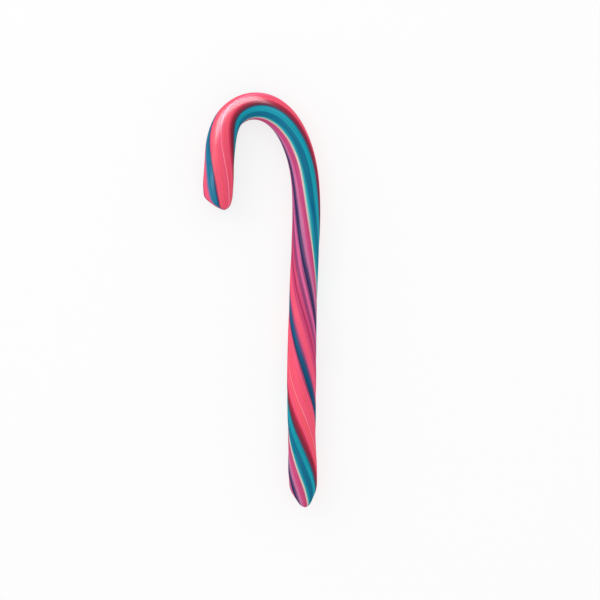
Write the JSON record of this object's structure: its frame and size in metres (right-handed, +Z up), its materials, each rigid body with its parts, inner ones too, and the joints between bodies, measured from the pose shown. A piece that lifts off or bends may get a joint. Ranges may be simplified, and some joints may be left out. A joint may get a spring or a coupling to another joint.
{
  "type": "candy cane",
  "caption": "Candy cane: a twisted, striped rod of pulled sugar bent over into a hook, its ends snipped to wedges, lying flat on its side.",
  "frame": {"origin": "middle of the footprint, on the plane the cane lies on", "axes": "+Y along the stem towards the hook, -X towards the hook's tail, +Z up out of the shown side"},
  "size_m": [0.0528, 0.1862, 0.0138],
  "materials": {
    "pulled_sugar": "satin pulled sugar in twisted coral, teal, navy, magenta and cream strands"
  },
  "bodies": {
    "root": {"candy_cane": "pulled_sugar"}
  },
  "joints": []
}
